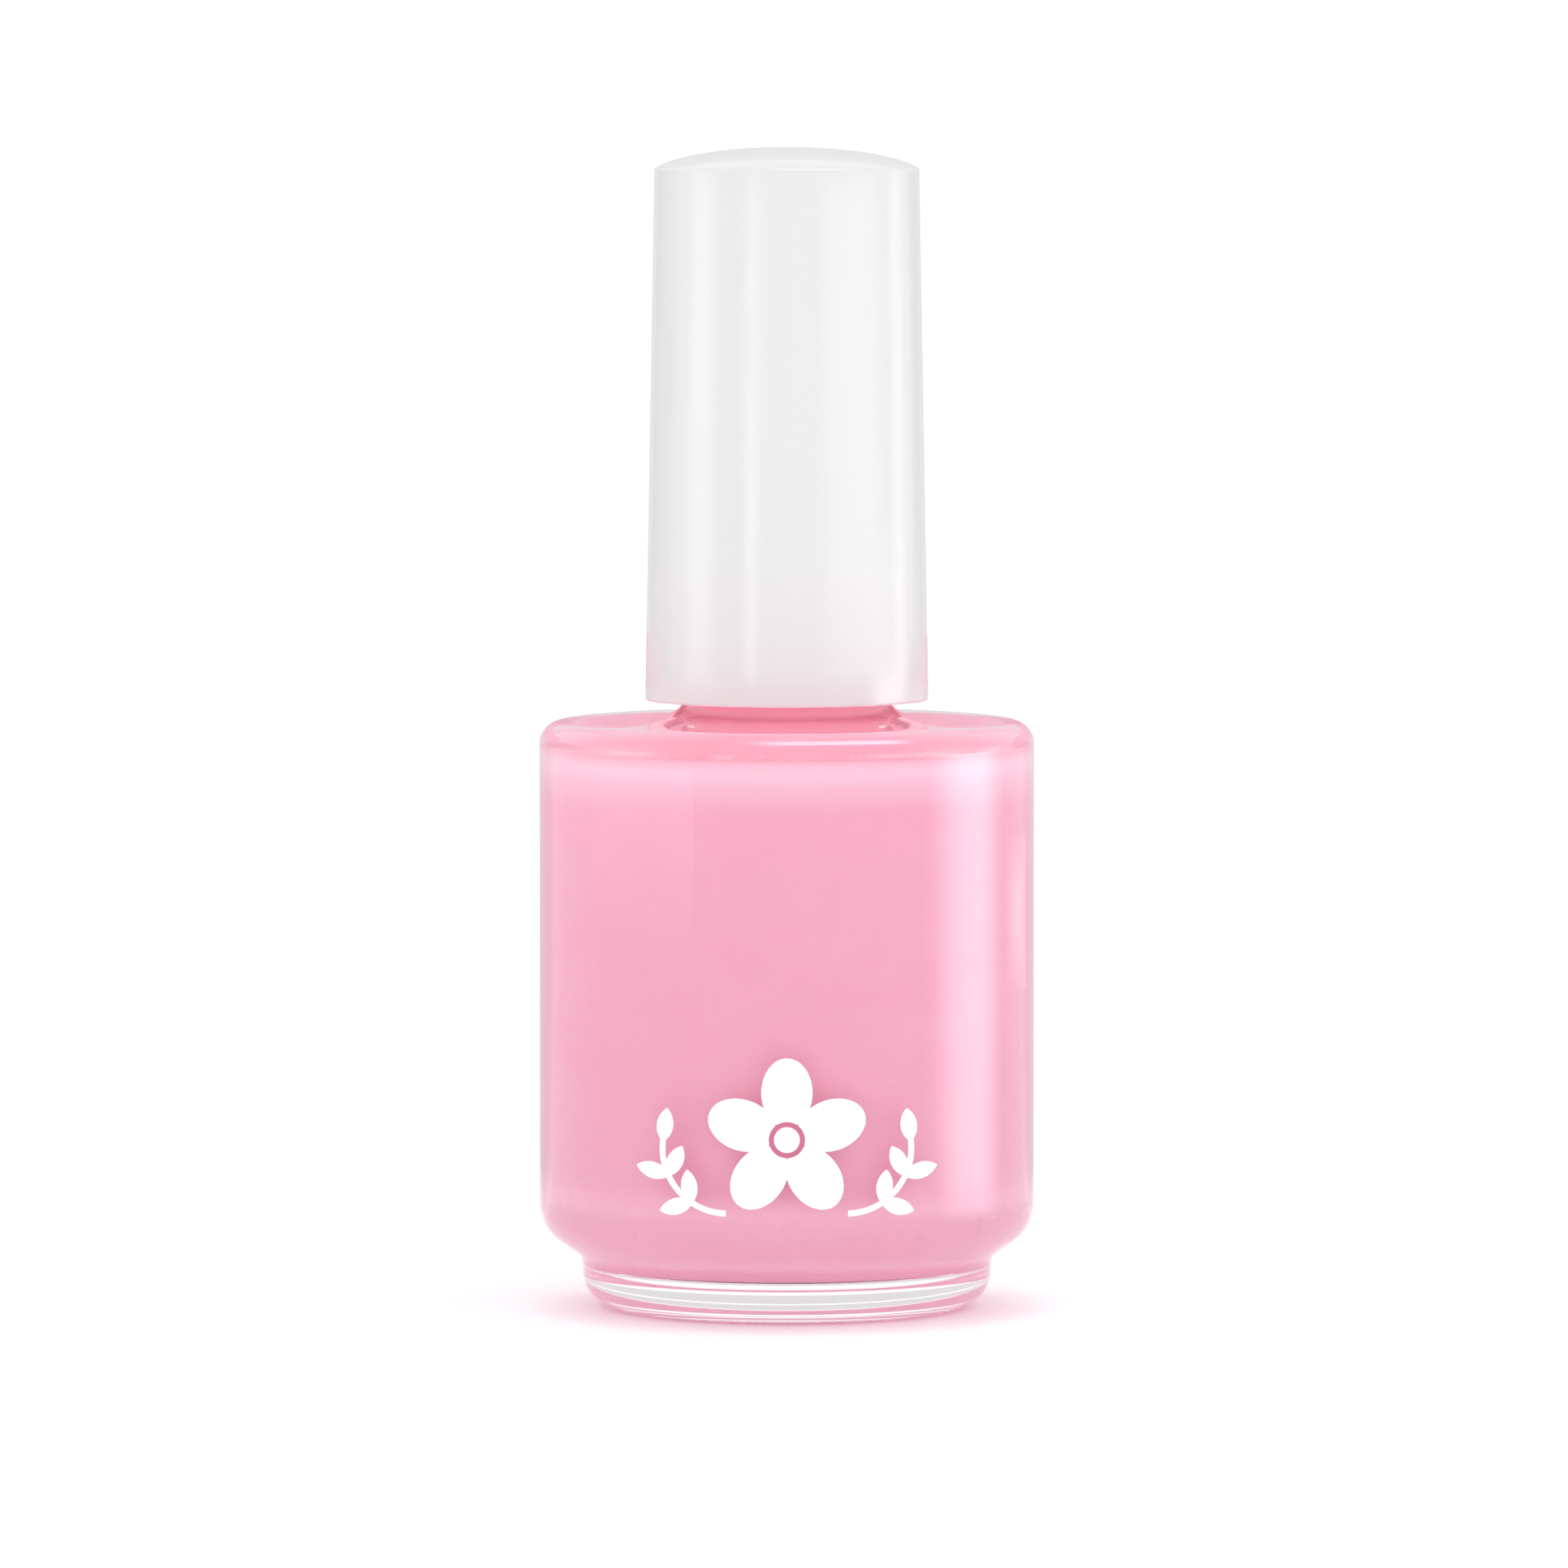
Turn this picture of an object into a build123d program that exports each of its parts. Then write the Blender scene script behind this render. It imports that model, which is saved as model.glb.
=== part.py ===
from build123d import *
import os
from math import acos, degrees, radians, tan

# Nail polish bottle: a heavy-based round glass bottle with a screw neck, closed by a tall
# two-piece cap that carries the brush.
# Millimetres, +Z up. The origin is the centre of the base, on the surface it stands on.
# The printed front of the bottle faces -Y.

# ---------------------------------------------------------------- driving dimensions
# Glass bottle, outside
body_radius = 15.25
foot_radius = 12.6
ring_radius = 8.9            # inner edge of the flat ring that the bottle stands on
push_up = 0.9                # rise of the shallow dome under the base
heel_round = 2.2
foot_top = 3.09              # sharp corner between the foot and the underside slope
underside_slope = 35.4       # degrees above horizontal
foot_fillet = 1.1
hip_round = 2.6
shoulder_edge = 36.1         # sharp corner between the side wall and the shoulder
shoulder_round = 1.4
shoulder_slope = 3.3         # degrees above horizontal
neck_base_radius = 6.15
neck_fillet = 1.6
neck_base_top = 39.6
lip_height = 47.7
lip_round = 0.45

# Glass bottle, inside
floor_height = 2.5           # thickness of the clear base at its centre
floor_radius = 10.4
floor_round = 1.6
well_top = 5.0               # sharp corner where the cavity starts to widen
cavity_radius = 13.15
cavity_shoulder = 34.3
cavity_fillet = 1.2
cavity_round = 2.0           # where the cavity's wall meets its slope at the bottom
cavity_shoulder_round = 1.8
bore_radius = 3.75

# Screw thread: 13 mm continuous-thread finish, 12 threads to the inch
thread_pitch = 2.12
thread_radius = 6.45         # crest of the glass thread
thread_core = 5.7            # neck between the turns
thread_turns = 1.75
thread_start = 42.3          # height of the middle of the first glass turn
thread_root_width = 1.3
thread_crest_width = 0.6
thread_gap = 0.15            # radial clearance between the glass and the cap threads
thread_sink = 0.25           # how far each thread is rooted in its wall

# Polish
fill_level = 31.7
wall_gap = 0.03              # between pieces that touch and move together
brush_room_radius = 2.5      # space in the polish that the brush passes through
brush_room_below = 0.4       # and how far it reaches below the tip of the brush
ball_room = 0.25             # space in the polish around the path of the balls

# Mixing balls
ball_radius = 2.0
ball_orbit = 7.6
ball_lift = 0.1
ball_spacing = 32.0          # degrees about the axis between the two balls

# Overcap
cap_bottom = 37.45
cap_bottom_radius = 8.72
cap_rim_radius = 8.15
cap_height = 71.45
dome_width = 8.6             # half width of the ellipse that the domed top is part of
dome_rise = 1.95
rim_round = 0.15
cap_bore_radius = 7.6
cap_step = 49.95             # the overcap's inner step sits on the inner cap here
cap_hollow_radius = 6.9
cap_hollow_draft = 0.2
cap_hollow_top = 68.3
cap_roof_round = 1.5

# Inner cap
skirt_bottom = 37.9
skirt_radius = 7.3
rib_count = 24
rib_width = 0.5
rib_height = 0.25
plate_bottom = 48.8
plate_top = 49.9
tower_radius = 3.6
tower_top = 56.4
tower_round = 0.4
socket_top = 55.4
gusset_count = 4
gusset_height = 4.0
gusset_thickness = 0.8
gusset_inset = 1.0           # from the outside of the skirt to the foot of a gusset

# Seal liner
liner_radius = 6.3
liner_hole_radius = 2.9
liner_thickness = 1.0
face_gap = 0.05              # between the liner and the faces it seals against

# Brush
plug_radius = 2.0
plug_top = 55.1
snap_height = 53.1
snap_radius = 2.3
snap_half = 0.5              # half the height of the snap ring at its root
snap_depth = 0.2             # height of each of its sloped flanks
end_chamfer = 0.3
collar_radius = 2.6
collar_height = 1.2
rod_top_radius = 1.6
rod_end_radius = 1.45
rod_end = 18.2
tuft_hole_radius = 1.05
tuft_hole_depth = 3.0
tuft_radius = 1.72
tuft_widest = 7.0
tuft_tip = 4.2
staple_size = (2.5, 0.25, 1.4)
staple_gap = 0.1             # between the staple and the end of the tuft hole

# Front print
print_height = 11.7          # middle of the blossom above the base
print_thickness = 0.06
petal_count = 5
petal_length = 2.1
petal_width = 1.55
petal_reach = 2.85
eye_radius = 0.78
eye_gap = 0.32
sprig_line = ((3.7, -4.5), (6.4, -3.4), (7.5, -0.2))   # start, middle and end of the stalk's arc
sprig_thickness = 0.36
leaf_pairs = 2
leaf_first = 0.34            # how far along the stalk the first pair of leaves grows
leaf_spread = 50.0           # degrees between a leaf and the stalk
leaf_length = 1.05           # half the length of a leaf
leaf_width = 0.5             # half its width
leaf_joint = 0.1             # how far a leaf overlaps the middle of the stalk

# Heights that follow from the sizes above
hip_edge = foot_top + (body_radius - foot_radius) * tan(radians(underside_slope))
neck_root = shoulder_edge + (body_radius - neck_base_radius) * tan(radians(shoulder_slope))
cavity_hip = well_top + (cavity_radius - floor_radius) * tan(radians(underside_slope))
cavity_neck = cavity_shoulder + (cavity_radius - bore_radius) * tan(radians(shoulder_slope))
liner_bottom = lip_height + face_gap
brush_room_bottom = tuft_tip - brush_room_below


def cavity_outline(inset, top):
    """Draw half the outline of the space in the bottle, inset from the glass, up to top."""
    FilletPolyline(
        (0, floor_height + inset),
        (floor_radius - inset, floor_height + inset),
        (floor_radius - inset, well_top + inset),
        (cavity_radius - inset, cavity_hip + inset),
        (cavity_radius - inset, top),
        radius=[floor_round, cavity_fillet, cavity_round],
    )


def thread_ridge(root_radius, crest_radius, start):
    """Return one screw thread as a part, its flanks carried a little way into the wall it stands on."""
    sink = thread_sink if crest_radius < root_radius else -thread_sink
    flank_slope = (thread_root_width - thread_crest_width) / abs(root_radius - crest_radius)
    half_sunk = (thread_root_width + flank_slope * thread_sink) / 2
    half_crest = thread_crest_width / 2
    with BuildPart() as ridge:
        with BuildLine():
            turns = Helix(thread_pitch, thread_pitch * thread_turns, root_radius, center=(0, 0, start))
        with BuildSketch(Plane.XZ):
            with BuildLine():
                Polyline(
                    (root_radius + sink, start - half_sunk),
                    (crest_radius, start - half_crest),
                    (crest_radius, start + half_crest),
                    (root_radius + sink, start + half_sunk),
                    close=True,
                )
            make_face()
        sweep(path=turns, is_frenet=True)
    return ridge.part


glass_thread = thread_ridge(thread_core, thread_radius, thread_start)
cap_thread = thread_ridge(
    thread_radius + thread_gap,
    thread_core + thread_gap,
    thread_start - thread_pitch / 2,
)

# ---------------------------------------------------------------- glass bottle
with BuildPart() as glass_bottle:
    with BuildSketch(Plane.XZ):
        with BuildLine():
            TangentArc((0, push_up), (ring_radius, 0), tangent=(1, 0))
            FilletPolyline(
                (ring_radius, 0),
                (foot_radius, 0),
                (foot_radius, foot_top),
                (body_radius, hip_edge),
                (body_radius, shoulder_edge),
                (neck_base_radius, neck_root),
                (neck_base_radius, neck_base_top),
                radius=[heel_round, foot_fillet, hip_round, shoulder_round, neck_fillet],
            )
            Polyline(
                (neck_base_radius, neck_base_top),
                (thread_core, neck_base_top + neck_base_radius - thread_core),
                (thread_core, lip_height),
                (0, lip_height),
                (0, push_up),
            )
        make_face()
    revolve(axis=Axis.Z)
    with BuildSketch(Plane.XZ):
        with BuildLine():
            cavity_outline(0, cavity_shoulder - cavity_shoulder_round)
            FilletPolyline(
                (cavity_radius, cavity_shoulder - cavity_shoulder_round),
                (cavity_radius, cavity_shoulder),
                (bore_radius, cavity_neck),
                (bore_radius, lip_height),
                radius=[cavity_shoulder_round, cavity_fillet],
            )
            Polyline((bore_radius, lip_height), (0, lip_height), (0, floor_height))
        make_face()
    revolve(axis=Axis.Z, mode=Mode.SUBTRACT)
    fillet(glass_bottle.edges().filter_by(GeomType.CIRCLE).group_by(Axis.Z)[-1], lip_round)
    add(glass_thread)
glass_bottle.part.label = "glass_bottle"

# ---------------------------------------------------------------- nail polish
with BuildPart() as nail_polish:
    with BuildSketch(Plane.XZ):
        with BuildLine():
            cavity_outline(wall_gap, fill_level)
            Polyline(
                (cavity_radius - wall_gap, fill_level),
                (0, fill_level),
                (0, floor_height + wall_gap),
            )
        make_face()
    revolve(axis=Axis.Z)
    # The room that the brush is lifted through
    with BuildSketch(Plane.XY.offset(brush_room_bottom)):
        Circle(brush_room_radius)
    extrude(amount=fill_level - brush_room_bottom, mode=Mode.SUBTRACT)
    # The ring-shaped room that the balls roll round in
    with BuildSketch(Plane.XZ):
        with Locations((ball_orbit, floor_height + ball_lift + ball_radius)):
            Rectangle(2 * (ball_radius + ball_room), 2 * (ball_radius + ball_room))
    revolve(axis=Axis.Z, mode=Mode.SUBTRACT)
nail_polish.part.label = "nail_polish"

# ---------------------------------------------------------------- mixing balls
ball_height = floor_height + ball_lift + ball_radius
with BuildPart() as mixing_balls:
    with Locations((0, 0, ball_height)):
        with PolarLocations(ball_orbit, 2, start_angle=-90 - ball_spacing / 2, angular_range=ball_spacing, endpoint=True):
            Sphere(ball_radius)
mixing_balls.part.label = "mixing_balls"

# ---------------------------------------------------------------- front print
# A five-petalled blossom between two leafy sprigs, laid on the side wall.
with BuildSketch() as leaf:
    with BuildLine():
        ThreePointArc((-leaf_length, 0), (0, leaf_width), (leaf_length, 0))
        ThreePointArc((-leaf_length, 0), (0, -leaf_width), (leaf_length, 0))
    make_face()

with BuildPart() as front_print:
    with BuildSketch(Plane.XZ.offset(body_radius / 2)):
        with BuildLine(mode=Mode.PRIVATE):
            stalk = ThreePointArc(*[(x, y + print_height) for x, y in sprig_line])
        trace(stalk, line_width=sprig_thickness)
        for step in range(leaf_pairs + 1):
            along = leaf_first + step * (1 - leaf_first) / leaf_pairs
            heading = stalk.tangent_angle_at(along)
            spreads = (0,) if step == leaf_pairs else (leaf_spread, -leaf_spread)
            for spread in spreads:
                middle = stalk @ along + Vector(leaf_length - leaf_joint, 0).rotate(Axis.Z, heading + spread)
                with Locations(Location((middle.X, middle.Y, 0), (0, 0, heading + spread))):
                    add(leaf.sketch)
        mirror(about=Plane.YZ)
        with Locations((0, print_height)):
            with PolarLocations(petal_reach, petal_count, start_angle=90):
                Ellipse(petal_length, petal_width)
            Circle(eye_radius + eye_gap, mode=Mode.SUBTRACT)
            Circle(eye_radius)
    extrude(amount=body_radius)
    with BuildSketch(Plane.XY):
        Circle(body_radius + print_thickness)
        Circle(body_radius, mode=Mode.SUBTRACT)
    extrude(amount=2 * print_height, mode=Mode.INTERSECT)
front_print.part.label = "front_print"

# ---------------------------------------------------------------- overcap
with BuildPart() as overcap:
    dome_centre = cap_height - dome_rise
    dome_start = degrees(acos(cap_rim_radius / dome_width))
    with BuildSketch(Plane.XZ):
        with BuildLine():
            dome = EllipticalCenterArc(
                (0, dome_centre),
                dome_width,
                dome_rise,
                start_angle=dome_start,
                arc_size=90 - dome_start,
            )
            Polyline(dome @ 0, (cap_bottom_radius, cap_bottom), (0, cap_bottom), (0, cap_height))
        make_face()
    revolve(axis=Axis.Z)
    outer_edges = overcap.edges().filter_by(GeomType.CIRCLE)
    fillet(outer_edges, rim_round)
    # Lower bore, which takes the ribbed skirt of the inner cap
    with BuildSketch(Plane.XY.offset(cap_bottom)):
        Circle(cap_bore_radius)
    extrude(amount=cap_step - cap_bottom, mode=Mode.SUBTRACT)
    fillet(overcap.edges().filter_by(GeomType.CIRCLE).group_by(Axis.Z)[0].sort_by(SortBy.RADIUS)[0], rim_round)
    # Upper hollow, with moulding draft and a rounded roof
    with BuildSketch(Plane.XZ):
        with BuildLine():
            FilletPolyline(
                (cap_hollow_radius, cap_step),
                (cap_hollow_radius - cap_hollow_draft, cap_hollow_top),
                (0, cap_hollow_top),
                radius=cap_roof_round,
            )
            Polyline((0, cap_hollow_top), (0, cap_step), (cap_hollow_radius, cap_step))
        make_face()
    revolve(axis=Axis.Z, mode=Mode.SUBTRACT)
overcap.part.label = "overcap"

# ---------------------------------------------------------------- inner cap
with BuildPart() as inner_cap:
    bore_wall = thread_radius + thread_gap
    with BuildSketch(Plane.XY.offset(skirt_bottom)):
        Circle(skirt_radius)
        with PolarLocations(skirt_radius, rib_count):
            Rectangle(2 * rib_height, rib_width)
    extrude(amount=plate_top - skirt_bottom)
    with BuildSketch(Plane.XY.offset(skirt_bottom)):
        Circle(bore_wall)
    extrude(amount=plate_bottom - skirt_bottom, mode=Mode.SUBTRACT)
    # Closed tower that the brush plugs into, stiffened by gussets
    with BuildSketch(Plane.XY.offset(plate_top)):
        Circle(tower_radius)
    extrude(amount=tower_top - plate_top)
    fillet(inner_cap.edges().group_by(Axis.Z)[-1], tower_round)
    with BuildSketch(Plane.XZ):
        with BuildLine():
            Polyline(
                (0, plate_top),
                (skirt_radius - gusset_inset, plate_top),
                (tower_radius, plate_top + gusset_height),
                (0, plate_top + gusset_height),
                close=True,
            )
        make_face()
    gusset = extrude(amount=gusset_thickness / 2, both=True, mode=Mode.PRIVATE)
    with PolarLocations(0, gusset_count):
        add(gusset)
    # Socket with a groove for the snap ring of the brush
    with BuildSketch(Plane.XZ):
        with BuildLine():
            Polyline(
                (0, plate_bottom),
                (plug_radius + wall_gap, plate_bottom),
                (plug_radius + wall_gap, snap_height - snap_half - wall_gap),
                (snap_radius + wall_gap, snap_height - snap_half + snap_depth - wall_gap),
                (snap_radius + wall_gap, snap_height + snap_half - snap_depth + wall_gap),
                (plug_radius + wall_gap, snap_height + snap_half + wall_gap),
                (plug_radius + wall_gap, socket_top),
                (0, socket_top),
                close=True,
            )
        make_face()
    revolve(axis=Axis.Z, mode=Mode.SUBTRACT)
    add(cap_thread)
inner_cap.part.label = "inner_cap"

# ---------------------------------------------------------------- seal liner
with BuildPart() as seal_liner:
    with BuildSketch(Plane.XY.offset(liner_bottom)):
        Circle(liner_radius)
        Circle(liner_hole_radius, mode=Mode.SUBTRACT)
    extrude(amount=liner_thickness)
seal_liner.part.label = "seal_liner"

# ---------------------------------------------------------------- staple
# A flat piece of wire that bites into both sides of the tuft hole.
staple_height = rod_end + tuft_hole_depth - staple_gap - staple_size[2] / 2
with BuildPart() as tuft_staple:
    with Locations((0, 0, staple_height)):
        Box(*staple_size)
    fillet(tuft_staple.edges().filter_by(Axis.Y), staple_size[1] / 2)
tuft_staple.part.label = "tuft_staple"

# ---------------------------------------------------------------- brush stem
with BuildPart() as brush_stem:
    collar_top = plate_bottom - wall_gap
    with BuildSketch(Plane.XZ):
        with BuildLine():
            Polyline(
                (0, rod_end),
                (rod_end_radius - end_chamfer, rod_end),
                (rod_end_radius, rod_end + end_chamfer),
                (rod_top_radius, collar_top - collar_height - end_chamfer),
                (collar_radius, collar_top - collar_height),
                (collar_radius, collar_top),
                (plug_radius, collar_top),
                (plug_radius, snap_height - snap_half),
                (snap_radius, snap_height - snap_half + snap_depth),
                (snap_radius, snap_height + snap_half - snap_depth),
                (plug_radius, snap_height + snap_half),
                (plug_radius, plug_top - end_chamfer),
                (plug_radius - end_chamfer, plug_top),
                (0, plug_top),
                close=True,
            )
        make_face()
    revolve(axis=Axis.Z)
    with BuildSketch(Plane.XY.offset(rod_end)):
        Circle(tuft_hole_radius)
    extrude(amount=tuft_hole_depth, mode=Mode.SUBTRACT)
    with Locations((0, 0, staple_height)):
        Box(*staple_size, mode=Mode.SUBTRACT)
brush_stem.part.label = "brush_stem"

# ---------------------------------------------------------------- bristle tuft
# The bristles are folded under the staple in the hole, then fan out to a rounded tip.
with BuildPart() as bristle_tuft:
    root_radius = tuft_hole_radius - wall_gap
    root_top = rod_end + tuft_hole_depth - wall_gap
    with BuildSketch(Plane.XZ):
        with BuildLine():
            Line((0, root_top), (root_radius, root_top))
            Line((root_radius, root_top), (root_radius, rod_end))
            side = Spline(
                (root_radius, rod_end),
                (tuft_radius, tuft_widest),
                tangents=[(0.12, -1), (0, -1)],
            )
            tip = Spline(side @ 1, (0, tuft_tip), tangents=[(0, -1), (-1, 0)])
            Line((0, tuft_tip), (0, root_top))
        make_face()
    revolve(axis=Axis.Z)
    with Locations((0, 0, staple_height)):
        Box(*[side_length + 2 * wall_gap for side_length in staple_size], mode=Mode.SUBTRACT)
bristle_tuft.part.label = "bristle_tuft"

# ---------------------------------------------------------------- export
os.makedirs("parts", exist_ok=True)
export_step(glass_bottle.part, "parts/glass_bottle.step")
export_step(nail_polish.part, "parts/nail_polish.step")
export_step(mixing_balls.part, "parts/mixing_balls.step")
export_step(front_print.part, "parts/front_print.step")
export_step(overcap.part, "parts/overcap.step")
export_step(inner_cap.part, "parts/inner_cap.step")
export_step(seal_liner.part, "parts/seal_liner.step")
export_step(tuft_staple.part, "parts/tuft_staple.step")
export_step(brush_stem.part, "parts/brush_stem.step")
export_step(bristle_tuft.part, "parts/bristle_tuft.step")
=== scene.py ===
import math
import random

import bmesh
import bpy
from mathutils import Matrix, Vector, noise


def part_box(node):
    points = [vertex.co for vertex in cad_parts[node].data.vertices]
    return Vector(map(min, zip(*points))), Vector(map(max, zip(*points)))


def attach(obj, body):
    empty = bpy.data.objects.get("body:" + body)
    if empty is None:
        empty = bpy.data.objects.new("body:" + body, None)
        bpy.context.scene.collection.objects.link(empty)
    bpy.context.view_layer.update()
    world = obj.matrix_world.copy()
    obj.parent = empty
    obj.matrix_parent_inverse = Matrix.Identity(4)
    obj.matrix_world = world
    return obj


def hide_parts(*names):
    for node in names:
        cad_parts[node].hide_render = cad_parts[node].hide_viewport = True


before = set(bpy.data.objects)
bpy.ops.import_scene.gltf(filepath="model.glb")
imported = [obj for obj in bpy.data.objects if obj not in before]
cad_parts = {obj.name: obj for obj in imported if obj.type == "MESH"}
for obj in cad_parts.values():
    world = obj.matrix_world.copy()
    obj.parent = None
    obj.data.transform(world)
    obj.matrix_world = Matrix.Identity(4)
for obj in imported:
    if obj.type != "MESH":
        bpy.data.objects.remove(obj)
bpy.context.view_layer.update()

# Nail polish bottle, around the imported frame. Lengths below are in millimetres and are turned
# into metres where a mesh is made. Outlines are half sections: (radius, height, rounding).
MM = 0.001
random.seed(15)


def node_size(node):
    """(largest radius, lowest height, highest height) of a round CAD node, in millimetres."""
    low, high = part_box(node)
    return (high.x - low.x) / 2 / MM, low.z / MM, high.z / MM


# ------------------------------------------------------------------ mesh helpers
def rounded(*corners, steps=20):
    """Points of an outline whose corners (radius, height, rounding) are turned into arcs."""
    points = []
    for i, corner in enumerate(corners):
        here = Vector(corner[:2])
        turn_radius = corner[2] if len(corner) > 2 else 0
        if not turn_radius:
            points.append(tuple(here))
            continue
        before = (Vector(corners[i - 1][:2]) - here).normalized()
        after = (Vector(corners[i + 1][:2]) - here).normalized()
        half_angle = before.angle(after) / 2
        reach = turn_radius / math.tan(half_angle)
        centre = here + (before + after).normalized() * (turn_radius / math.sin(half_angle))
        first = here + before * reach - centre
        last = here + after * reach - centre
        sweep = first.angle_signed(last)
        for k in range(steps + 1):
            angle = -sweep * k / steps
            cos, sin = math.cos(angle), math.sin(angle)
            points.append((
                centre.x + first.x * cos - first.y * sin,
                centre.y + first.x * sin + first.y * cos,
            ))
    return points


def divided(points, longest):
    """The same outline with no step longer than longest."""
    result = [points[0]]
    for (r0, z0), (r1, z1) in zip(points, points[1:]):
        pieces = max(1, math.ceil(math.hypot(r1 - r0, z1 - z0) / longest))
        for k in range(1, pieces + 1):
            result.append((r0 + (r1 - r0) * k / pieces, z0 + (z1 - z0) * k / pieces))
    return result


def add(name, mesh):
    """Put a mesh into the scene as an object."""
    piece = bpy.data.objects.new(name, mesh)
    bpy.context.scene.collection.objects.link(piece)
    return piece


def add_closed(name, solid):
    """Put a closed bmesh into the scene, with its faces turned outwards."""
    bmesh.ops.recalc_face_normals(solid, faces=solid.faces)
    mesh = bpy.data.meshes.new(name)
    solid.to_mesh(mesh)
    solid.free()
    return add(name, mesh)


def lathe(name, outline, segments=256, shape=None):
    """Turn an outline that starts and ends on the axis into a closed mesh.

    shape(r, z, turn) moves its points."""
    solid = bmesh.new()
    rings = []
    for r, z in outline:
        if r < 1e-6:
            rings.append([solid.verts.new((0, 0, z * MM))])
            continue
        ring = []
        for k in range(segments):
            turn = k / segments
            rr, zz = shape(r, z, turn) if shape else (r, z)
            angle = 2 * math.pi * turn
            ring.append(solid.verts.new((rr * math.cos(angle) * MM, rr * math.sin(angle) * MM, zz * MM)))
        rings.append(ring)
    for lower, upper in zip(rings, rings[1:]):
        for k in range(segments):
            after = (k + 1) % segments
            if len(lower) == 1:
                solid.faces.new((lower[0], upper[after], upper[k]))
            elif len(upper) == 1:
                solid.faces.new((lower[k], lower[after], upper[0]))
            else:
                solid.faces.new((lower[k], lower[after], upper[after], upper[k]))
    piece = add_closed(name, solid)
    smooth(piece)
    return piece


def smooth(piece, sharp_angle=38):
    """Shade a piece smooth, except across edges sharper than sharp_angle degrees."""
    piece.data.shade_smooth()
    piece.data.set_sharp_from_angle(angle=math.radians(sharp_angle))


def place(piece, body, material, node):
    """Give a new piece its body, slot and material, and hide the CAD node it stands for."""
    piece.data.materials.append(material)
    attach(piece, body)
    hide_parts(node)


def finish_node(node, material):
    """Keep a CAD node's own shape and give it smooth shading and a better material."""
    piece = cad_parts[node]
    smooth(piece)
    piece.data.materials.clear()
    piece.data.materials.append(material)


def ease(value):
    """0 below 0, 1 above 1 and smooth between."""
    value = min(1, max(0, value))
    return value * value * (3 - 2 * value)


# ------------------------------------------------------------------ material helpers
class Recipe:
    """A material under construction: a Principled shader and the nodes that feed it."""

    def __init__(self, name, **uniform):
        self.material = bpy.data.materials.new(name)
        self.material.use_nodes = True
        self.nodes = self.material.node_tree.nodes
        self.links = self.material.node_tree.links
        self.shader = self.nodes["Principled BSDF"]
        self.place = self.nodes.new("ShaderNodeTexCoord").outputs["Object"]
        for key, value in uniform.items():
            self.shader.inputs[key.replace("_", " ")].default_value = value

    def noise(self, scale, detail=3, stretch=(1, 1, 1)):
        """Noise over the object, scale cycles to the metre along each axis times stretch."""
        mapping = self.nodes.new("ShaderNodeMapping")
        mapping.inputs["Scale"].default_value = stretch
        texture = self.nodes.new("ShaderNodeTexNoise")
        texture.inputs["Scale"].default_value = scale
        texture.inputs["Detail"].default_value = detail
        self.links.new(self.place, mapping.inputs["Vector"])
        self.links.new(mapping.outputs["Vector"], texture.inputs["Vector"])
        return texture.outputs["Fac"]

    def cells(self, scale):
        """Distance to the nearest of scattered points, scale of them to the metre."""
        texture = self.nodes.new("ShaderNodeTexVoronoi")
        texture.inputs["Scale"].default_value = scale
        self.links.new(self.place, texture.inputs["Vector"])
        return texture.outputs["Distance"]

    def height(self):
        """Height above the base, in metres."""
        split = self.nodes.new("ShaderNodeSeparateXYZ")
        self.links.new(self.place, split.inputs["Vector"])
        return split.outputs["Z"]

    def range(self, value, low, high, to_low=0.0, to_high=1.0):
        """value between low and high, stretched to to_low and to_high."""
        node = self.nodes.new("ShaderNodeMapRange")
        node.inputs["From Min"].default_value = low
        node.inputs["From Max"].default_value = high
        node.inputs["To Min"].default_value = to_low
        node.inputs["To Max"].default_value = to_high
        self.links.new(value, node.inputs["Value"])
        return node.outputs["Result"]

    def mix(self, share, first, second):
        """Colour first where share is 0 and second where it is 1. Either is a colour or a socket."""
        node = self.nodes.new("ShaderNodeMix")
        node.data_type = "RGBA"
        for name, colour in (("A_Color", first), ("B_Color", second)):
            socket = next(s for s in node.inputs if s.identifier == name)
            if isinstance(colour, bpy.types.NodeSocket):
                self.links.new(colour, socket)
            else:
                socket.default_value = (*colour, 1)
        self.links.new(share, node.inputs["Factor"])
        return next(s for s in node.outputs if s.identifier == "Result_Color")

    def math(self, operation, first, second):
        """One operation on two values. Either is a number or a socket."""
        node = self.nodes.new("ShaderNodeMath")
        node.operation = operation
        for socket, value in zip(node.inputs, (first, second)):
            if isinstance(value, bpy.types.NodeSocket):
                self.links.new(value, socket)
            else:
                socket.default_value = value
        return node.outputs["Value"]

    def feed(self, socket, value):
        """Drive one input of the shader."""
        self.links.new(value, self.shader.inputs[socket])

    def bump(self, *layers):
        """Bump from (value, depth in millimetres) layers."""
        normal = None
        for value, depth in layers:
            node = self.nodes.new("ShaderNodeBump")
            node.inputs["Strength"].default_value = 1.0
            node.inputs["Distance"].default_value = depth * MM
            self.links.new(value, node.inputs["Height"])
            if normal:
                self.links.new(normal, node.inputs["Normal"])
            normal = node.outputs["Normal"]
        self.feed("Normal", normal)


# ------------------------------------------------------------------ materials
def glass_material():
    """Clear fire-polished glass: slight ripples and a roughness that is never quite even."""
    glass = Recipe("clear_glass", Base_Color=(0.955, 0.955, 0.955, 1), Transmission_Weight=1.0, IOR=1.51)
    glass.feed("Roughness", glass.range(glass.noise(220), 0.35, 0.75, 0.0, 0.03))
    glass.bump((glass.noise(70, 1), 0.01), (glass.noise(600, 1), 0.0006))
    return glass.material


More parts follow.
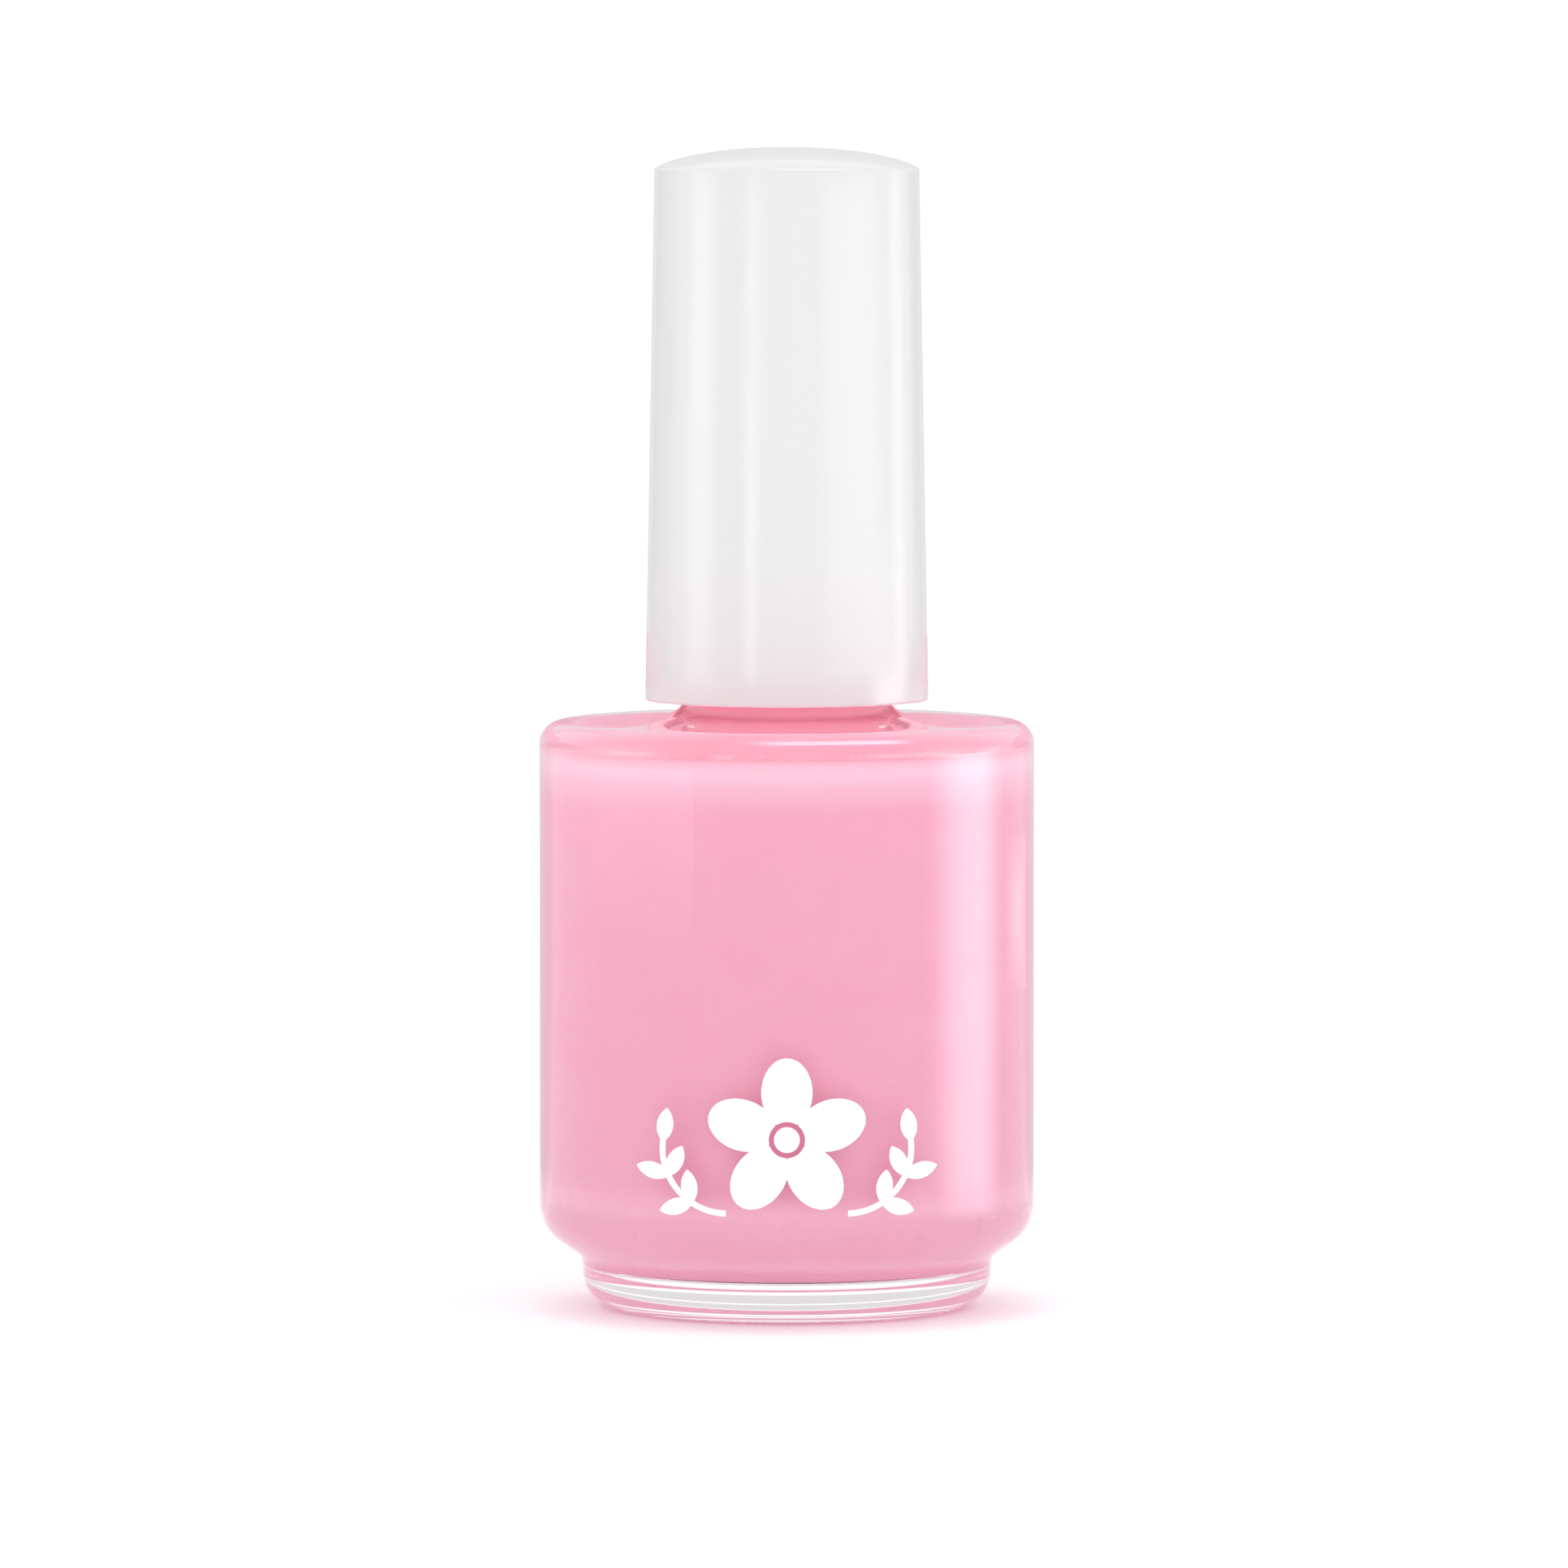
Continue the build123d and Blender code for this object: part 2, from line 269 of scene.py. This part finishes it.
def polish_material(fill_level, shoulder):
    """Creamy pigment with faint streaks; paler where only a film clings, above the fill level.

    Under the shoulder and in the neck its colour is brighter and deeper: painted light, which makes up for
    the shade that the cap casts there."""
    polish = Recipe("pink_polish", Specular_IOR_Level=0.12)
    streaks = polish.range(polish.noise(120, 4, (1, 1, 2.5)), 0.3, 0.7)
    body = polish.mix(streaks, (0.895, 0.50, 0.64), (0.91, 0.53, 0.665))
    film = polish.range(polish.height(), (fill_level - 0.4) * MM, (fill_level + 0.6) * MM)
    clinging = polish.mix(film, body, (0.93, 0.60, 0.73))
    # Painted light: from just under the shoulder up into the neck the polish gets a brighter pink, standing
    # in for light that the cap's shade keeps out.
    neck = polish.range(polish.height(), (shoulder - 0.6) * MM, (shoulder + 0.5) * MM)
    polish.feed("Base Color", polish.mix(neck, clinging, (0.99, 0.53, 0.64)))
    polish.feed("Roughness", polish.range(polish.noise(400), 0.3, 0.7, 0.22, 0.34))
    polish.bump((polish.noise(260, 2), 0.01))
    return polish.material


def print_material():
    """Screen-printed ink: white, satin, with the faint grain of the mesh it was pressed through."""
    ink = Recipe("white_print", IOR=1.5)
    ink.feed("Base Color", ink.mix(ink.noise(900), (0.93, 0.92, 0.92), (0.98, 0.98, 0.98)))
    ink.feed("Roughness", ink.range(ink.noise(1500), 0.3, 0.7, 0.42, 0.6))
    ink.bump((ink.noise(4000, 2), 0.004))
    return ink.material


def cap_material():
    """Glossy white moulded plastic with faint flow lines along the draw and soft handling wear."""
    cap = Recipe("white_cap", IOR=1.49)
    flow = cap.noise(140, 3, (1, 1, 0.12))
    cap.feed("Base Color", cap.mix(flow, (0.69, 0.69, 0.693), (0.715, 0.715, 0.716)))
    cap.feed("Roughness", cap.range(cap.noise(260, 4), 0.3, 0.75, 0.13, 0.24))
    cap.bump((flow, 0.006), (cap.noise(1800, 2), 0.0006))
    return cap.material


def inner_cap_material():
    """Natural polypropylene: a little translucent, satin, with a fine moulded texture."""
    plastic = Recipe("natural_polypropylene", IOR=1.49, Subsurface_Weight=0.15)
    plastic.shader.inputs["Subsurface Scale"].default_value = 0.6 * MM
    plastic.feed("Base Color", plastic.mix(plastic.noise(300), (0.78, 0.78, 0.76), (0.84, 0.84, 0.825)))
    plastic.feed("Roughness", plastic.range(plastic.noise(900), 0.3, 0.7, 0.3, 0.42))
    plastic.bump((plastic.noise(2600, 2), 0.003))
    return plastic.material


def liner_material():
    """Foamed polyethylene: matt, with small closed cells."""
    foam = Recipe("foam_liner", IOR=1.45)
    foam.feed("Base Color", foam.mix(foam.noise(800), (0.82, 0.82, 0.8), (0.9, 0.9, 0.885)))
    foam.feed("Roughness", foam.range(foam.noise(1200), 0.3, 0.7, 0.55, 0.75))
    foam.bump((foam.cells(3200), 0.05))
    return foam.material


def wet_share(recipe, level, ripple):
    """1 where the brush has been in the polish, up to an uneven line ripple millimetres deep."""
    edge = recipe.range(recipe.noise(500), 0.3, 0.7, -ripple * MM, ripple * MM)
    height = recipe.math("ADD", recipe.height(), edge)
    return recipe.range(height, (level + 0.15) * MM, (level - 0.15) * MM)


def stem_material(fill_level):
    """White polyethylene rod, wet with polish up to where it was dipped."""
    stem = Recipe("brush_rod", IOR=1.5)
    wet = wet_share(stem, fill_level, 0.8)
    dry = stem.mix(stem.noise(300), (0.8, 0.8, 0.79), (0.86, 0.86, 0.85))
    coat = stem.mix(stem.noise(350), (0.92, 0.36, 0.52), (0.93, 0.42, 0.57))
    stem.feed("Base Color", stem.mix(wet, dry, coat))
    stem.feed("Roughness", stem.range(wet, 0, 1, 0.36, 0.12))
    stem.bump((stem.noise(450, 2), 0.03))
    return stem.material


def bristle_material():
    """Fine dark nylon, clotted with polish towards the tip."""
    nylon = Recipe("nylon_bristles", IOR=1.53)
    soaked = nylon.range(nylon.noise(1400, 3, (1, 1, 0.15)), 0.38, 0.5)
    nylon.feed("Base Color", nylon.mix(soaked, (0.16, 0.07, 0.085), (0.9, 0.36, 0.5)))
    nylon.feed("Roughness", nylon.range(soaked, 0, 1, 0.35, 0.14))
    nylon.bump((nylon.noise(5000, 2, (1, 1, 0.2)), 0.004))
    return nylon.material


def metal_material(name, colour, low, high, grain, stretch=(1, 1, 1)):
    """Bare metal whose roughness runs from low to high over its grain."""
    metal = Recipe(name, Metallic=1.0)
    darker = tuple(0.86 * c for c in colour)
    metal.feed("Base Color", metal.mix(metal.noise(grain, 3, stretch), darker, colour))
    metal.feed("Roughness", metal.range(metal.noise(grain, 4, stretch), 0.3, 0.7, low, high))
    metal.bump((metal.noise(2 * grain, 2, stretch), 0.001))
    return metal.material


# ------------------------------------------------------------------ glass bottle
body_radius, base_height, lip_height = node_size("glass_bottle")
_, floor_height, fill_level = node_size("nail_polish")
cap_radius, cap_bottom, cap_top = node_size("overcap")

ring_radius = 8.9
push_up = 0.9
foot_radius = 12.6
foot_top = 3.09
hip_height = 4.97
shoulder_height = 36.1
neck_root = 36.62
neck_base_radius = 6.15
neck_base_top = 39.6
neck_radius = 5.7
bore_radius = 3.75
cavity_radius = 13.15
cavity_shoulder = 34.3
cavity_neck = 34.84
cavity_hip = 6.95
well_radius = 10.4
well_top = 5.0

heel_round = 2.2
foot_round = 1.1
hip_round = 2.6
shoulder_round = 1.4
neck_root_round = 1.6
lip_round = 0.45
cavity_neck_round = 1.2
cavity_shoulder_round = 1.8
cavity_hip_round = 2.0
well_top_round = 1.2
well_floor_round = 1.6
under_rings = 16             # of the mesh, under the base
longest_step = 0.9           # between rings of the mesh elsewhere

thread_pitch = 2.12
thread_height = 0.75
thread_start = 42.3
thread_turns = 1.75
thread_half_root = 0.65
thread_half_crest = 0.3
thread_fade = 0.09           # turns over which each end of the thread dies away
thread_step = 0.1            # between rings of the mesh there

seam_height = 0.02
seam_width = 0.006           # of a turn
stipple_count = 72
stipple_depth = 0.07
stipple_outside = foot_radius - 1.4
wall_ripple = 0.06           # how far the inside wall wanders from round
ripple_round = 1.6           # size of the waves round the wall
ripple_up = 0.11             # and up it
ripple_fade = 4.0            # height over which they die away at both ends


def ripple(r, z, turn):
    """Uneven glass thickness inside the straight wall of the bottle."""
    if abs(r - cavity_radius) > 0.3:
        return 0
    angle = 2 * math.pi * turn
    around = (ripple_round * math.cos(angle), ripple_round * math.sin(angle))
    wander = noise.noise(Vector((*around, z * ripple_up)))
    from_foot = ease((z - cavity_hip - 1.5) / ripple_fade)
    from_top = ease((fill_level + 1 - z) / ripple_fade)
    return wall_ripple * wander * from_foot * from_top


def glass_outline():
    """Half section of the bottle, from under the centre of the base round to the centre of its floor."""
    dome_radius = (ring_radius ** 2 + push_up ** 2) / (2 * push_up)
    under = []
    for k in range(under_rings + 1):
        r = ring_radius * k / under_rings
        under.append((r, push_up - dome_radius + math.sqrt(dome_radius ** 2 - r ** 2)))
    outside = rounded(
        under[-1],
        (foot_radius, base_height, heel_round),
        (foot_radius, foot_top, foot_round),
        (body_radius - seam_height, hip_height, hip_round),
        (body_radius - seam_height, shoulder_height, shoulder_round),
        (neck_base_radius, neck_root, neck_root_round),
        (neck_base_radius, neck_base_top),
        (neck_radius, neck_base_top + neck_base_radius - neck_radius),
        (neck_radius, lip_height, lip_round),
        (bore_radius, lip_height, lip_round),
        (bore_radius, cavity_neck, cavity_neck_round),
        (cavity_radius, cavity_shoulder, cavity_shoulder_round),
        (cavity_radius, cavity_hip, cavity_hip_round),
        (well_radius, well_top, well_top_round),
        (well_radius, floor_height, well_floor_round),
        (0, floor_height),
    )
    return under[:-1] + divided(outside, longest_step)


def thread_ridge(z, turn):
    """How far the screw thread stands out of the neck at this height and turn."""
    turns_up = (z - thread_start) / thread_pitch
    winding = round(turns_up - turn)
    along = turn + winding
    off_centre = abs(turns_up - along) * thread_pitch
    flank = ease((thread_half_root - off_centre) / (thread_half_root - thread_half_crest))
    return thread_height * flank * ease(along / thread_fade) * ease((thread_turns - along) / thread_fade)


def glass_shape(r, z, turn):
    """Mould seams and stippled ring outside, uneven wall inside, screw thread on the neck."""
    if r > cavity_radius + 0.5 and hip_height < z < shoulder_height:
        from_seam = min(turn % 0.5, 0.5 - turn % 0.5)
        r += seam_height * math.exp(-(from_seam / seam_width) ** 2)
    elif z < 0.3 and ring_radius < r < stipple_outside:
        groove = 0.5 - 0.5 * math.cos(2 * math.pi * turn * stipple_count)
        middle = (ring_radius + stipple_outside) / 2
        z += stipple_depth * groove * ease(4 * (1 - abs(r - middle) / (middle - ring_radius)))
    elif r > neck_radius - 0.01 and z > neck_base_top + 1:
        r += thread_ridge(z, turn)
    else:
        r += ripple(r, z, turn)
    return r, z


def glass_rings():
    """The rings of the bottle's mesh, closer together where the thread winds round the neck."""
    outline = glass_outline()
    rings = []
    for (r0, z0), (r1, z1) in zip(outline, outline[1:]):
        on_thread = abs(r0 - neck_radius) < 0.01 and abs(r1 - neck_radius) < 0.01
        rings += divided([(r0, z0), (r1, z1)], thread_step if on_thread else longest_step)[:-1]
    return rings + [outline[-1]]


glass = lathe("bottle_glass", glass_rings(), 360, glass_shape)
place(glass, "bottle", glass_material(), "glass_bottle")

# ------------------------------------------------------------------ polish
# It wets the glass, so its skin lies a hair inside the wall and no air shows between them.
wetting = 0.05
floor_air = 0.03             # but not under it, so that the thick foot stays clear from the side
film_thickness = 0.22
film_top = lip_height - 2.2
film_taper = 0.5
film_round = 1.4
meniscus = 0.7


def polish_outline():
    """Half section of the polish, from the floor up the wall, and back down inside the film."""
    bottom = floor_height + floor_air
    wall = cavity_radius + wetting
    bore = bore_radius + wetting
    inner_wall = cavity_radius - film_thickness
    inner_bore = bore_radius - film_thickness
    skin = rounded(
        (0, bottom),
        (well_radius + wetting, bottom, well_floor_round),
        (well_radius + wetting, well_top, well_top_round),
        (wall, cavity_hip, cavity_hip_round),
        (wall, cavity_shoulder + wetting, cavity_shoulder_round),
        (bore, cavity_neck + wetting, cavity_neck_round),
        (bore, film_top),
        (inner_bore, film_top - film_taper),
        (inner_bore, cavity_neck - film_thickness, film_round),
        (inner_wall, cavity_shoulder - film_thickness, film_round),
        (inner_wall, fill_level, meniscus),
        (0, fill_level),
    )
    return divided(skin, longest_step)


def polish_shape(r, z, turn):
    """The polish follows the uneven wall that it wets."""
    return r + ripple(r, z, turn), z


polish = lathe("polish_fill", polish_outline(), 256, polish_shape)
place(polish, "bottle", polish_material(fill_level, cavity_shoulder), "nail_polish")

# ------------------------------------------------------------------ overcap
rim_radius = cap_radius - 0.57
dome_width = 8.6
dome_rise = 1.95
cap_bore = 7.6
cap_step = 49.95
hollow_radius = 6.9
hollow_top = 68.3
hollow_taper = 0.2
hollow_round = 1.5
dome_rim_round = 0.14
lower_edge_round = 0.15
dome_rings = 28
longest_cap_step = 2.0


def overcap_outline():
    """Half section of the overcap, from the top of its dome round to the roof of its hollow."""
    start = math.acos(rim_radius / dome_width)
    dome = []
    for k in range(dome_rings + 1):
        angle = math.pi / 2 + (start - math.pi / 2) * k / dome_rings
        dome.append((dome_width * math.cos(angle), cap_top - dome_rise + dome_rise * math.sin(angle)))
    walls = rounded(
        dome[-2],
        (*dome[-1], dome_rim_round),
        (cap_radius, cap_bottom, lower_edge_round),
        (cap_bore, cap_bottom, lower_edge_round),
        (cap_bore, cap_step),
        (hollow_radius, cap_step),
        (hollow_radius - hollow_taper, hollow_top, hollow_round),
        (0, hollow_top),
        steps=6,
    )
    dome[0] = (0, cap_top)
    return dome[:-2] + divided(walls, longest_cap_step)


overcap = lathe("cap_shell", overcap_outline(), 256)
place(overcap, "cap", cap_material(), "overcap")

# ------------------------------------------------------------------ brush
bristle_count = 330
bristle_radius = 0.045
bristle_sides = 6
bristle_rings = 12
bristle_sway = 0.16          # how far they turn from straight, in radians
tip_round = 2.1              # how much shorter the outer bristles are
uneven_ends = 0.35
tuft_hole_radius = 0.97
tuft_belly = 7.0             # height where the tuft is widest
tip_closing = 0.22           # share by which it draws in again at the tip


def bristle_tuft():
    """Separate filaments, packed round the hole of the rod and fanned out to a rounded tip."""
    widest, tip, root = node_size("bristle_tuft")
    rod_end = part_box("brush_stem")[0].z / MM
    fanned_out = widest - bristle_radius - 0.03
    solid = bmesh.new()
    for k in range(bristle_count):
        share = math.sqrt((k + 0.5) / bristle_count)
        angle = k * math.pi * (3 - math.sqrt(5))
        low = tip + tip_round * share ** 3 + random.uniform(0, uneven_ends)
        sway = random.uniform(-bristle_sway, bristle_sway)
        rings = []
        for step in range(bristle_rings):
            z = root + (low - root) * (step / (bristle_rings - 1)) ** 0.85
            fan = ease((rod_end - z) / (rod_end - tuft_belly))
            close = tip_closing * ease((tuft_belly - z) / (tuft_belly - tip))
            spread = tuft_hole_radius + (fanned_out - tuft_hole_radius) * fan
            r = share * spread * (1 - close)
            turn = angle + sway * fan
            centre = Vector((r * math.cos(turn), r * math.sin(turn), z))
            thick = bristle_radius * (1 - 0.6 * ease((step - bristle_rings + 4) / 3))
            ring = []
            for side in range(bristle_sides):
                a = 2 * math.pi * side / bristle_sides
                point = centre + Vector((thick * math.cos(a), thick * math.sin(a), 0))
                ring.append(solid.verts.new(point * MM))
            rings.append(ring)
        for upper, lower in zip(rings, rings[1:]):
            for side in range(bristle_sides):
                after = (side + 1) % bristle_sides
                solid.faces.new((upper[side], lower[side], lower[after], upper[after]))
        solid.faces.new(rings[0])
        solid.faces.new(list(reversed(rings[-1])))
    tuft = add_closed("bristles", solid)
    smooth(tuft, sharp_angle=70)
    return tuft


place(bristle_tuft(), "cap", bristle_material(), "bristle_tuft")

# ------------------------------------------------------------------ nodes that keep their CAD shape
finish_node("front_print", print_material())
finish_node("inner_cap", inner_cap_material())
finish_node("seal_liner", liner_material())
finish_node("brush_stem", stem_material(fill_level))
finish_node("tuft_staple", metal_material("staple_wire", (0.72, 0.72, 0.73), 0.2, 0.38, 1500, (0.1, 1, 1)))
finish_node("mixing_balls", metal_material("steel_balls", (0.78, 0.78, 0.79), 0.05, 0.16, 900))


# ------------------------------------------------------------------ stage
daylight = 1.2               # brightness of the white surroundings
white = (1, 1, 1)
black = (0, 0, 0)


def floor():
    """Plain pale floor, with a trace of unevenness in its tone."""
    mesh = bpy.data.meshes.new("floor")
    half = 3000 * MM
    below = -0.01 * MM       # a hair under the base, which would flicker if it lay in the same plane
    mesh.from_pydata(
        [(-half, -half, below), (half, -half, below), (half, half, below), (-half, half, below)],
        [],
        [(0, 1, 2, 3)],
    )
    pale = Recipe("pale_floor", Specular_IOR_Level=0.2)
    pale.feed("Base Color", pale.mix(pale.noise(3), (0.95, 0.95, 0.95), (0.97, 0.97, 0.97)))
    pale.feed("Roughness", pale.range(pale.noise(8), 0.3, 0.7, 0.55, 0.7))
    mesh.materials.append(pale.material)
    add("floor", mesh)


def card(name, azimuths, profile, radiance, *, centre=(0, 0), soft=(0, 0), colour=white, seen_by=("glossy",)):
    """A glowing panel curved round the bottle, which the camera doesn't see.

    Azimuth 0 is towards the camera and 90 to its right, as seen from centre. profile holds
    (distance, height, strength) from its top to its foot, and soft the shares of the width over
    which the two sides dim. A panel that only glossy light sees is no more than a reflection."""
    left, right = azimuths
    columns = 24
    points, glows = [], []
    for k in range(columns + 1):
        share = k / columns
        angle = math.radians(left + (right - left) * share)
        glow = 1.0
        for width, from_side in zip(soft, (share, 1 - share)):
            if width:
                glow *= ease(from_side / width)
        for distance, height, strength in profile:
            points.append((
                (centre[0] + distance * math.sin(angle)) * MM,
                (centre[1] - distance * math.cos(angle)) * MM,
                height * MM,
            ))
            glows.append(glow * strength)
    faces = []
    rows = len(profile)
    for k in range(columns):
        for row in range(rows - 1):
            corner = k * rows + row
            faces.append((corner, corner + 1, corner + rows + 1, corner + rows))
    mesh = bpy.data.meshes.new(name)
    mesh.from_pydata(points, [], faces)
    mesh.attributes.new("glow", "FLOAT", "POINT").data.foreach_set("value", glows)
    panel = add(name, mesh)
    surface = Recipe(name, Base_Color=(*black, 1), Roughness=0.9, Specular_IOR_Level=0.0)
    surface.shader.inputs["Emission Color"].default_value = (*colour, 1)
    attribute = surface.nodes.new("ShaderNodeAttribute")
    attribute.attribute_name = "glow"
    surface.feed("Emission Strength", surface.range(attribute.outputs["Fac"], 0, 1, daylight, radiance))
    mesh.materials.append(surface.material)
    panel.visible_camera = False
    panel.visible_shadow = False
    panel.visible_glossy = "glossy" in seen_by
    panel.visible_diffuse = "diffuse" in seen_by
    panel.visible_transmission = "transmission" in seen_by


def studio():
    """White surroundings, and panels that draw the highlights down the glass and the cap.

    The flags are darker than the surroundings, and draw the greys near the edges."""
    world = bpy.data.worlds.new("studio")
    world.use_nodes = True
    background = world.node_tree.nodes["Background"]
    background.inputs["Color"].default_value = (*white, 1)
    background.inputs["Strength"].default_value = daylight
    bpy.context.scene.world = world

    # Round the glass: they run on along the floor, and dim before they reach the bottle
    far = 300
    low = ((far, 26, 1), (far, 1, 1), (80, 1, 1), (40, 1, 0))
    highlight = math.radians(49)
    on_wall = (body_radius * math.sin(highlight), -body_radius * math.cos(highlight))
    card("glass_strip", (66, 122), low, 5.4, centre=on_wall, soft=(0.42, 0.42))
    card("glass_flag_left", (-178, -132), low, 0.75, soft=(0, 0.3))
    card("glass_flag_right", (136, 178), low, 0.8, soft=(0.3, 0))
    nearer = far - 1
    wide = ((nearer, 17, 1), (nearer, 11, 1), (nearer, 1, 0))
    card("glass_panel", (-122, -43), wide, 1.9, soft=(0.5, 0))
    short = ((nearer, 9, 0), (nearer, 4, 1), (nearer, 1.2, 1), (230, 1.2, 0))
    card("glass_patch", (118, 146), short, 2.0, soft=(0.5, 0.4))

    # Round the cap
    middle = ((far, 90, 1), (far, 26, 1))
    card("cap_strip_left", (-94, -58), middle, 3.1, soft=(0.35, 0.35))
    card("cap_strip_narrow", (-37, -21), middle, 3.9, soft=(0.4, 0.4))
    card("cap_panel_front", (-21, 18), middle, 1.6)
    card("cap_panel_right", (18, 94), middle, 3.0, soft=(0.35, 0.35))
    card("cap_strip_right", (94, 118), middle, 2.7, soft=(0.4, 0.4))
    card("cap_flag_left", (-150, -104), middle, 0.45, soft=(0, 0.2))
    card("cap_flag_right", (126, 150), middle, 0.5, soft=(0.2, 0))
    card("cap_flag_back", (150, 210), ((far, 260, 1), (far, 26, 1)), 0.75)

    # Small ones close to the glass: round the neck, behind the shoulder and behind the clear foot
    ring = ((8.6, 37.3, 1), (8.6, 36.7, 1))
    card("neck_ring", (0, 360), ring, 4.5, colour=(1, 0.7, 0.78), seen_by=("diffuse", "transmission"))
    card("shoulder_back", (105, 255), ((26, 40.5, 1), (26, 36.8, 1)), 1.0, colour=(0.85, 0.5, 0.61))
    card("foot_back", (90, 270), ((40, 9, 1), (40, 0.5, 1)), 0.78, seen_by=("transmission",))

    # Overhead: it draws the short soft highlight on the rounding of the shoulder
    above = ((770, 450, 0), (700, 450, 1), (580, 450, 1), (520, 450, 0))
    lilac = (0.93, 0.93, 1)
    card("shoulder_softbox", (-3, 43), above, 9.0, centre=(-100, 500), soft=(0.3, 0.3), colour=lilac)


def camera():
    """A long lens a little above the bottle, as in a catalogue picture."""
    view_distance = 700 * MM
    view_pitch = math.radians(3.73)
    aim = Vector((-0.175 * MM, 0, 32.25 * MM))
    data = bpy.data.cameras.new("catalogue_view")
    data.sensor_width = 36
    data.lens = 260.9
    data.clip_start = 0.05
    data.clip_end = 20
    view = bpy.data.objects.new("catalogue_view", data)
    bpy.context.scene.collection.objects.link(view)
    back = Vector((0, -math.cos(view_pitch), math.sin(view_pitch)))
    view.location = aim + view_distance * back
    view.rotation_mode = "QUATERNION"
    view.rotation_quaternion = (-back).to_track_quat("-Z", "Y")
    bpy.context.scene.camera = view


floor()
studio()
camera()
scene = bpy.context.scene
scene.view_settings.view_transform = "Standard"
# Light bounces often between the polish and the clear glass round it, and comes out as bright as it should.
scene.cycles.blur_glossy = 0
scene.cycles.max_bounces = 24
scene.cycles.diffuse_bounces = 10
scene.cycles.glossy_bounces = 12
scene.cycles.transmission_bounces = 16
